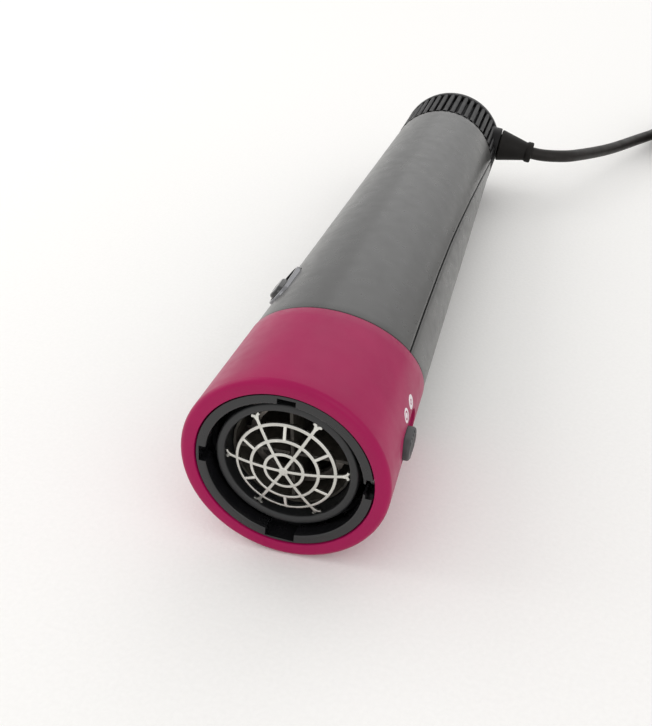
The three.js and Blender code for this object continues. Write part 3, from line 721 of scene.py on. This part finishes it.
def add_marks():
    """Two plain round marks, an open ring and a closed one, beside the lock."""
    for index, station in enumerate(MARK_STATIONS):
        ring = mark_shape(MARK_R - (0.7, 1.1)[index], MARK_R, station)
        dot = mark_shape(0.0, (0.75, 0.4)[index], station)
        shape = moved(joined(ring, dot), around(MARK_ANGLE))
        add(f"collar_mark_{index + 1}", shape, None, slot="collar_satin", material=MARK_WHITE)


def add_lock():
    width, start, end, top = (LOCK_KNOB[key] for key in ("width", "from", "to", "top"))
    knob = crowned(width, start, end, LOCK_TRACK["floor"] + GAP, top, 0.8)
    foot = LATCH["high"] + GAP
    stem = moved(
        bar(STEM["width"], STEM["to"] - STEM["from"], LOCK_TRACK["floor"] + 1 - foot, 0.2),
        Matrix.Translation((0, (STEM["from"] + STEM["to"]) / 2, foot)),
    )
    turn = around(LOCK_ANGLE)
    middle = (start + end) / 2
    grooves = []
    for step in range(-2, 3):
        groove = moved(bar(width + 2, 0.7, 2.0, 0.3), Matrix.Translation((0, middle + 1.5 * step, top - 0.35)))
        grooves.append(moved(groove, turn))
    add("lock_slider_knob", moved(knob, turn), "lock_knob", "lock_slider", cuts=grooves)
    add("lock_slider_stem", moved(stem, turn), None, "lock_slider", slot="knob_plastic")


def add_latch():
    """A stamped strip with a tongue at its front end and a stiffening bead."""
    length = LATCH["to"] - LATCH["from"] - 2
    middle = (LATCH["to"] + LATCH["from"] + 2) / 2
    thick = LATCH["high"] - LATCH["low"]
    strip = moved(bar(LATCH["width"], length, thick, 0.15), Matrix.Translation((0, middle, LATCH["low"])))
    tongue = moved(
        bar(2.6, 3.0, LATCH["high"] - LATCH["tongue"], 0.2),
        Matrix.Translation((0, LATCH["from"] + 1.5, LATCH["tongue"])),
    )
    bead = moved(bar(1.0, length - 8, 0.25, 0.12), Matrix.Translation((0, middle + 1, LATCH["high"] - 0.05)))
    add("lock_latch_strip", moved(joined(strip, tongue, bead), around(LOCK_ANGLE)), "lock_latch", "lock_slider")


# ---------------------------------------------------------------- outlet


def add_bayonet_ring():
    front = 0.3
    back = BORE_DEPTH - GAP
    outer = BORE_R - GAP
    profile = [
        (outer, front), (outer, back), (19.5, back), (19.5, 9.0), (20.6, 8.2),
        (20.6, 4.6), (19.4, 4.6), (19.4, front + 0.2), (19.7, front),
    ]
    cuts = []
    for degrees, width in ((-86, 4.4), (4, 4.4), (184, 7.4)):
        cuts.append(moved(box(-width / 2, width / 2, 0, 6.4, 15, 21), around(math.radians(degrees))))
    half = LATCH["width"] / 2 + GAP
    turn = around(LOCK_ANGLE)
    cuts.append(moved(box(-half, half, 0, 20, LATCH["tongue"] - GAP, 25), turn))
    cuts.append(moved(box(-1.6, 1.6, 0, 6.4, 15, 22), turn))
    add("bayonet_ring_moulding", turned(profile, 0.25), "bayonet_ring", cuts=cuts)


def add_outlet_tube():
    profile = [
        (TUBE_OUTER_R, TUBE_FRONT), (TUBE_OUTER_R, TUBE_END), (TUBE_INNER_R, TUBE_END),
        (TUBE_INNER_R, TUBE_FRONT),
    ]
    rib = [(TUBE_OUTER_R - 0.1, 8.0), (TUBE_OUTER_R + 0.25, 8.6), (TUBE_OUTER_R - 0.1, 9.2)]
    add("outlet_tube_moulding", joined(turned(profile, 0.75), turned(rib, 0.2)), "outlet_tube")


def web_station(radius):
    return WEB["hub"] + (WEB["edge"] - WEB["hub"]) * (radius / WEB["radius"]) ** 2


def web_strip(points, closed=False):
    """A flat etched bar that follows points in the mouth's plane, on the web's dome."""
    half = WEB["bar"] / 2
    section = soften([(-half, 0.0), (half, 0.0), (half, WEB["thick"]), (-half, WEB["thick"])], 0.18, 3)
    verts = []
    faces = []
    count = len(points)
    for index, point in enumerate(points):
        here = Vector(point)
        after = Vector(points[(index + 1) % count]) if closed or index < count - 1 else here
        before = Vector(points[index - 1]) if closed or index > 0 else here
        along = (after - before).normalized()
        side = Vector((along.y, -along.x))
        for across, depth in section:
            place = here + side * across
            verts.append((place.x, web_station(place.length) + depth, place.y))
    size = len(section)
    for index in range(count if closed else count - 1):
        low = index * size
        high = ((index + 1) % count) * size
        for corner in range(size):
            after = (corner + 1) % size
            faces.append((low + corner, low + after, high + after, high + corner))
    if not closed:
        faces.append(tuple(reversed(range(size))))
        faces.append(tuple(range(len(verts) - size, len(verts))))
    return verts, faces


def at_angle(angle, radius):
    return (radius * math.sin(angle), radius * math.cos(angle))


def web_spoke(angle):
    """A spoke from the hub, forked before it reaches the tube's wall."""
    fork = 14.3
    stem = web_strip([at_angle(angle, fork * step / 8) for step in range(9)])
    prongs = []
    for side in (-1, 1):
        tip = angle + side * 0.07
        bend = angle + side * 0.025
        prongs.append(web_strip([at_angle(angle, fork - 0.5), at_angle(bend, 14.8), at_angle(tip, 15.2)]))
    return joined(stem, *prongs)


def add_grille():
    pieces = [turned([(0, WEB["hub"] - 0.1), (1.2, WEB["hub"] - 0.1), (1.2, WEB["hub"] + 0.7), (0, WEB["hub"] + 0.7)], 0.2, 24)]
    for radius in WEB_RINGS:
        steps = 96
        pieces.append(web_strip([at_angle(2 * math.pi * step / steps, radius) for step in range(steps)], True))
    for spoke in range(WEB_SPOKES):
        angle = WEB_ANGLE + 2 * math.pi * spoke / WEB_SPOKES
        pieces.append(web_spoke(angle))
        middle = angle + math.pi / WEB_SPOKES
        outer_ends = (WEB_RINGS[1], (WEB_RINGS[1] + WEB_RINGS[2]) / 2, WEB_RINGS[2])
        pieces.append(web_strip([at_angle(middle, radius) for radius in outer_ends]))
    add("outlet_web", joined(*pieces), "outlet_grille")


# ---------------------------------------------------------------- shells


def parting_height(station):
    for (start, low), (end, high) in zip(PARTING, PARTING[1:]):
        if station <= end:
            return low + (high - low) * (station - start) / (end - start)
    return PARTING[-1][1]


def parting_angle(station, offset):
    return math.acos((parting_height(station) + offset) / shell_radius(station))


def shell_place(across, along, upper):
    """(angle, station) on a shell half. across runs from edge to edge, along from joint to tail."""
    offset = PARTING_GAP / 2 if upper else -PARTING_GAP / 2
    station = JOINT_MIDDLE
    angle = 0.0
    for _ in range(6):
        edge = parting_angle(station, offset)
        if upper:
            angle = across * edge
        else:
            angle = edge + (across + 1) * (math.pi - edge)
        start = joint_station(angle) + JOINT_GAP
        station = start + (SHELL_END - start) * along
    return angle, station


def shell_half(upper):
    """A closed skin: the outer surface, the inner one, and the walls between them."""
    rows = 60
    columns = 64
    layers = []
    for inset in (0.0, SHELL_WALL):
        grid = []
        for row in range(rows + 1):
            for column in range(columns + 1):
                angle, station = shell_place(2 * column / columns - 1, row / rows, upper)
                radius = shell_radius(station) - inset
                grid.append((radius * math.sin(angle), station, radius * math.cos(angle)))
        layers.append(grid)
    size = len(layers[0])
    width = columns + 1
    faces = []
    for row in range(rows):
        for column in range(columns):
            corner = row * width + column
            quad = (corner, corner + 1, corner + 1 + width, corner + width)
            faces.append(quad)
            faces.append(tuple(size + index for index in reversed(quad)))
    rim = list(range(width))
    rim += [row * width + columns for row in range(1, rows + 1)]
    rim += [rows * width + column for column in range(columns - 1, -1, -1)]
    rim += [row * width for row in range(rows - 1, 0, -1)]
    for here, after in zip(rim, rim[1:] + rim[:1]):
        faces.append((here, after, size + after, size + here))
    return layers[0] + layers[1], faces


def round_edges(piece, width):
    """Rounds the sharp edges of a piece in its geometry."""
    modifier = piece.modifiers.new("edges", "BEVEL")
    modifier.width = width * MM
    modifier.segments = 3
    modifier.angle_limit = math.radians(60)
    scene_state = bpy.context.evaluated_depsgraph_get()
    piece.data = bpy.data.meshes.new_from_object(piece.evaluated_get(scene_state))
    piece.modifiers.clear()


def switch_hole(margin, low=12.0, high=30.0):
    width, start, end = SWITCH["width"], SWITCH["from"], SWITCH["to"]
    outline = oblong(width + 2 * margin, start - margin, end + margin)
    return moved(stacked([(outline, low), (outline, high)]), around(SWITCH_ANGLE))


def add_shells():
    for name, upper in (("upper_shell", True), ("lower_shell", False)):
        piece = add(f"{name}_moulding", shell_half(upper), name)
        round_edges(piece, 0.25)
        hole = new_object("cutter", switch_hole(BEZEL_WIDTH + GAP), HANDLE, piece.data.materials[0])
        carve(piece, [hole])
        piece.data.shade_smooth()
        piece.data.set_sharp_from_angle(angle=math.radians(32))


# ---------------------------------------------------------------- mode switch


def add_switch():
    width, start, end, top = SWITCH["width"], SWITCH["from"], SWITCH["to"], SWITCH["top"]
    turn = around(SWITCH_ANGLE)
    margin = BEZEL_WIDTH
    outer = moved(crowned(width + 2 * margin, start - margin, end + margin, 21.5, top, 0.4), turn)
    inside = turned([(0, start - 8), (22.9, start - 8), (22.9, end + 8), (0, end + 8)], 0.0)
    add("switch_bezel_ring", outer, "switch_bezel", cuts=[switch_hole(0.0), inside])
    plug = moved(crowned(width - 2 * GAP, start + GAP, end - GAP, 18.6, top - 1.1, 0.3), turn)
    knob = SWITCH_KNOB
    slot_end = knob["to"] + knob["travel"] + GAP
    outline = oblong(knob["width"] + 2 * GAP, knob["from"] - GAP, slot_end)
    slot = moved(stacked([(outline, SWITCH_FLOOR), (outline, 30.0)]), turn)
    add("switch_body_moulding", plug, "switch_body", cuts=[slot])
    grip = crowned(knob["width"], knob["from"], knob["to"], SWITCH_FLOOR + GAP, knob["top"], 0.9)
    middle = (knob["from"] + knob["to"]) / 2
    ridges = []
    for step in (-1, 0, 1):
        ridge = moved(bar(2.6, 0.5, 0.6, 0.2), Matrix.Translation((0, middle + 1.2 * step, knob["top"] - 0.3)))
        ridges.append(moved(ridge, turn))
    add("switch_knob_cap", moved(grip, turn), "switch_knob", "mode_slider", cuts=ridges)


# ---------------------------------------------------------------- tail


def rib_end(angle):
    """Where a rib stops: at the rear rim, or before the boss."""
    boss_angle = math.pi / 2 - BOSS_RISE / RING_OUTER_R
    aside = RING_OUTER_R * (angle - boss_angle)
    if abs(aside) > BOSS["radius"]:
        return RING_END - 1.0
    return RELIEF_STATION - math.sqrt(BOSS["radius"] ** 2 - aside**2) + 0.4


def rib(angle):
    """A long rib with a rounded crest."""
    steps = 8
    half = 0.95
    low = RING_INNER_R + 0.3
    high = RING_OUTER_R - 0.05
    outline = [(-half, low), (half, low)]
    for step in range(steps + 1):
        turn = math.pi * step / steps
        outline.append((half * math.cos(turn), high - 0.6 + 0.6 * math.sin(turn)))
    verts = []
    for station in (RING_START + 0.6, rib_end(angle)):
        verts += [(x, station, z) for x, z in outline]
    count = len(outline)
    faces = [(i, (i + 1) % count, count + (i + 1) % count, count + i) for i in range(count)]
    faces.append(tuple(reversed(range(count))))
    faces.append(tuple(range(count, 2 * count)))
    return moved((verts, faces), around(angle))


def sideways(shape):
    """Turns a piece made along the axis to point right and a little down, at the relief's station."""
    place = (
        Matrix.Translation((RELIEF_END_X, RELIEF_STATION, -RELIEF_DROP))
        @ Matrix.Rotation(RELIEF_DROOP, 4, "Y")
        @ Matrix.Translation((-RELIEF_END_X, 0, 0))
        @ Matrix.Rotation(-math.pi / 2, 4, "Z")
    )
    return moved(shape, place)


def add_intake():
    front = turned([
        (RING_BASE_R, RING_START), (RING_BASE_R, RING_START + 3.2),
        (RING_INNER_R, RING_START + 3.2), (RING_INNER_R, RING_START),
    ], 0.3, 176)
    rear = turned([
        (RING_OUTER_R, RING_END - 3.0), (RING_OUTER_R, RING_END),
        (RING_INNER_R, RING_END), (RING_INNER_R, RING_END - 3.0),
    ], 0.6, 176)
    ribs = [rib(2 * math.pi * index / RIB_COUNT) for index in range(RIB_COUNT)]
    add("intake_ring_moulding", joined(front, rear, *ribs), "intake_ring", crease=40)
    bore = RELIEF_NECK_R + GAP
    boss = sideways(turned([
        (BOSS["radius"], BOSS["from"]), (BOSS["radius"], BOSS["to"]), (bore, BOSS["to"]), (bore, BOSS["from"]),
    ], 0.5, 64))
    behind = box(-40, 40, RING_END - 0.05, RING_END + 20, -40, 40)
    add("intake_ring_boss", boss, None, cuts=[behind], slot="intake_black")


def add_filter():
    """The fine screen behind the ribs, with a hole round the boss."""
    outer = RING_INNER_R - GAP
    shape = turned([
        (outer, RING_START + 1), (outer, RING_END - 1), (outer - 0.6, RING_END - 1), (outer - 0.6, RING_START + 1),
    ], 0.15)
    hole = sideways(turned([(0, 10), (BOSS["radius"] + GAP, 10), (BOSS["radius"] + GAP, 25), (0, 25)], 0.0, 48))
    add("filter_screen_sheet", shape, "filter_screen", cuts=[hole])


def add_cap():
    start = RING_END + GAP
    wall = 1.6
    profile = [
        (0, CAP_END - wall), (12.5, CAP_END - wall), (15.6, CAP_END - 3.2), (RING_INNER_R - 1, start),
        (RING_INNER_R + 0.9, start), (17.5, start + 3.2), (12.5, CAP_END - 0.6), (9.0, CAP_END), (0, CAP_END),
    ]
    add("tail_cap_moulding", turned(profile, 1.0), "tail_cap")
    for index, side in enumerate((-1, 1)):
        low = CAP_END + 0.02
        head = turned([(0, low), (2.3, low), (2.3, low + 0.98), (0, low + 0.98)], 0.35, 48)
        cuts = []
        for quarter in (0, math.pi / 2):
            cross = box(-0.4, 0.4, low + 0.4, low + 3, -1.6, 1.6)
            cuts.append(moved(moved(cross, around(quarter)), Matrix.Translation((side * 8, 0, 0))))
        shape = moved(head, Matrix.Translation((side * 8, 0, 0)))
        add(f"tail_screw_head_{index + 1}", shape, f"tail_screw_{index + 1}", cuts=cuts)


def add_relief():
    """A tapered sleeve with a rounded flange at its end."""
    root = BOSS["to"] + GAP
    end = RELIEF_END_X
    profile = [
        (0, RELIEF_START_X), (RELIEF_NECK_R, RELIEF_START_X), (RELIEF_NECK_R, root),
        (RELIEF_ROOT_R, root), (3.8, end - 2.8), (4.3, end - 2.3), (4.3, end), (0, end),
    ]
    add("strain_relief_sleeve", sideways(turned(profile, 0.8, 64)), "strain_relief")


# ---------------------------------------------------------------- cord's own pieces

PLUG_X = 167.3
PLUG_TAIL = 153.5
PLUG_FRONT = 107.5
PLUG_WIDTH = 35.6
PLUG_HEIGHT = 25.4
PIN_SPACING = 19.0
PIN_R = 2.4
PIN_LENGTH = 19.0
COIL_TIE_ANGLE = math.radians(215)


def add_tie():
    """A strap once round the coil's section, its free end lapped over the top."""
    outline = soften([(-12.4, 0), (12.4, 0), (12.4, 17.2), (-12.4, 17.2)], 3.0, 6)
    inner = soften([(-11.4, 1.0), (11.4, 1.0), (11.4, 16.2), (-11.4, 16.2)], 2.2, 6)
    half = 4.5
    verts = []
    for loop, along in ((outline, -half), (outline, half), (inner, half), (inner, -half)):
        verts += [(x, along, z) for x, z in loop]
    count = len(outline)
    faces = []
    for ring in range(4):
        low = ring * count
        high = ((ring + 1) % 4) * count
        for index in range(count):
            after = (index + 1) % count
            faces.append((low + index, low + after, high + after, high + index))
    lap = moved(bar(15.0, 8.6, 0.9, 0.3), Matrix.Translation((1.5, 0, 17.1)))
    place = (
        Matrix.Translation((COIL_CENTRE[0] / MM, COIL_CENTRE[1] / MM, 0))
        @ Matrix.Rotation(COIL_TIE_ANGLE, 4, "Z")
        @ Matrix.Translation((27.5, 0, 0))
    )
    return add("coil_tie_strap", moved(joined((verts, faces), lap), place), "coil_tie", matrix=ROW)


def plug_outline(inset, station):
    """The plug's rounded cross-section, in X and Z round its middle."""
    half_width = PLUG_WIDTH / 2 - inset
    half_height = PLUG_HEIGHT / 2 - inset
    corners = [(-half_width, -half_height), (half_width, -half_height), (half_width, half_height), (-half_width, half_height)]
    return [(x, station, z) for x, z in soften(corners, 9.0 - inset / 2, 8)]


def add_plug():
    """A moulded plug: flat face, waisted grip, ribbed boot."""
    stations = [
        (0.8, PLUG_FRONT), (0.15, PLUG_FRONT + 0.3), (0.0, PLUG_FRONT + 1.2), (0.0, PLUG_FRONT + 10),
        (1.2, PLUG_FRONT + 18), (2.6, PLUG_FRONT + 26), (2.8, PLUG_FRONT + 32), (2.0, PLUG_TAIL - 6),
        (3.2, PLUG_TAIL - 2), (5.8, PLUG_TAIL),
    ]
    verts = []
    for inset, station in stations:
        verts += plug_outline(inset, station)
    count = len(verts) // len(stations)
    faces = []
    for ring in range(len(stations) - 1):
        for index in range(count):
            after = (index + 1) % count
            low = ring * count
            faces.append((low + index, low + after, low + count + after, low + count + index))
    faces.append(tuple(reversed(range(count))))
    faces.append(tuple(range(len(verts) - count, len(verts))))
    ribs = []
    for step in range(4):
        start = PLUG_TAIL - 1.5 + 2.7 * step
        radius = 8.0 - 0.85 * step
        ribs.append(turned([(2.7, start), (radius, start), (radius - 0.3, start + 1.9), (2.7, start + 1.9)], 0.4, 48))
    core = turned([(2.6, PLUG_TAIL - 2), (6.6, PLUG_TAIL - 2), (4.0, PLUG_TAIL + 8.8), (2.6, PLUG_TAIL + 8.8)], 0.3, 48)
    place = Matrix.Translation((PLUG_X, 0, PLUG_HEIGHT / 2))
    plug = add("plug_grip", moved((verts, faces), place), "plug_body", matrix=ROW)
    boot = add("plug_boot", moved(joined(core, *ribs), place), None, matrix=ROW, slot="plug_moulding")
    return [plug, boot]


def add_pins():
    pins = []
    for index, side in enumerate((-1, 1)):
        tip = -PIN_LENGTH
        pin = turned([
            (0, tip), (PIN_R - 0.8, tip), (PIN_R - 0.3, tip + 0.5), (PIN_R, tip + 1.4), (PIN_R, -GAP), (0, -GAP),
        ], 0.3, 40)
        place = Matrix.Translation((PLUG_X + side * PIN_SPACING / 2, PLUG_FRONT, PLUG_HEIGHT / 2))
        node = f"plug_pin_{index + 1}"
        pins.append(add(f"{node}_metal", moved(pin, place), node, matrix=ROW))
    return pins


# ---------------------------------------------------------------- everything together


def dress_carried_nodes():
    """Gives the CAD nodes that still show the material of their slot."""
    for name, node in frame["nodes"].items():
        node.data.materials.clear()
        node.data.materials.append(MATERIALS[SLOT_OF[name]])


def add_stage():
    """A pale floor and soft studio light."""
    bpy.context.scene.view_settings.view_transform = "Standard"
    floor = new_object("floor", box(-3000, 3000, -3000, 3000, -20, 0), ROW, floor_material())
    world = bpy.data.worlds.new("studio")
    world.use_nodes = True
    sky = world.node_tree.nodes["Background"]
    sky.inputs["Color"].default_value = (1.0, 0.995, 0.99, 1.0)
    sky.inputs["Strength"].default_value = 0.88
    bpy.context.scene.world = world
    lamps = [
        add_lamp("key", (-0.85, 0.05, 0.5), 0.8, 2.8),
        add_lamp("back", (0.15, 0.9, 0.7), 0.9, 1.2),
        add_lamp("fill", (0.5, -0.7, 0.5), 0.7, 1.0),
    ]


def floor_material():
    nodes = Nodes("floor_foam")
    tone = linear(246, 245, 243)
    cells = nodes.spread(nodes.noise(900.0, 4.0), 0.0, 1.0)
    body = nodes.mix(cells, shade(tone, 0.97), tone)
    nodes.bump(cells, 0.15, 0.0002)
    return nodes.finish(body, nodes.spread(nodes.noise(200.0), 0.75, 0.9))


def add_lamp(name, place, size, power):
    """A soft square lamp that looks at the middle of the handle."""
    data = bpy.data.lights.new(name, "AREA")
    data.size = size
    data.energy = power
    lamp = bpy.data.objects.new(name, data)
    lamp.location = place
    lamp.rotation_euler = Vector(place).to_track_quat("Z", "Y").to_euler()
    bpy.context.scene.collection.objects.link(lamp)
    return lamp


def dress_cord():
    """Finishes the cord and adds what is on it: the tie, the plug and its pins."""
    cord.data.materials.append(MATERIALS["cord_sheath"])
    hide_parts("cord_lead", "cord_coil", "cord_tail")
    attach(cord, HOUSING)
    pieces = [add_tie(), *add_plug(), *add_pins()]


dress_carried_nodes()
add_collar()
add_marks()
add_lock()
add_latch()
add_bayonet_ring()
add_outlet_tube()
add_grille()
add_shells()
add_switch()
add_intake()
add_filter()
add_cap()
add_relief()
dress_cord()
add_stage()
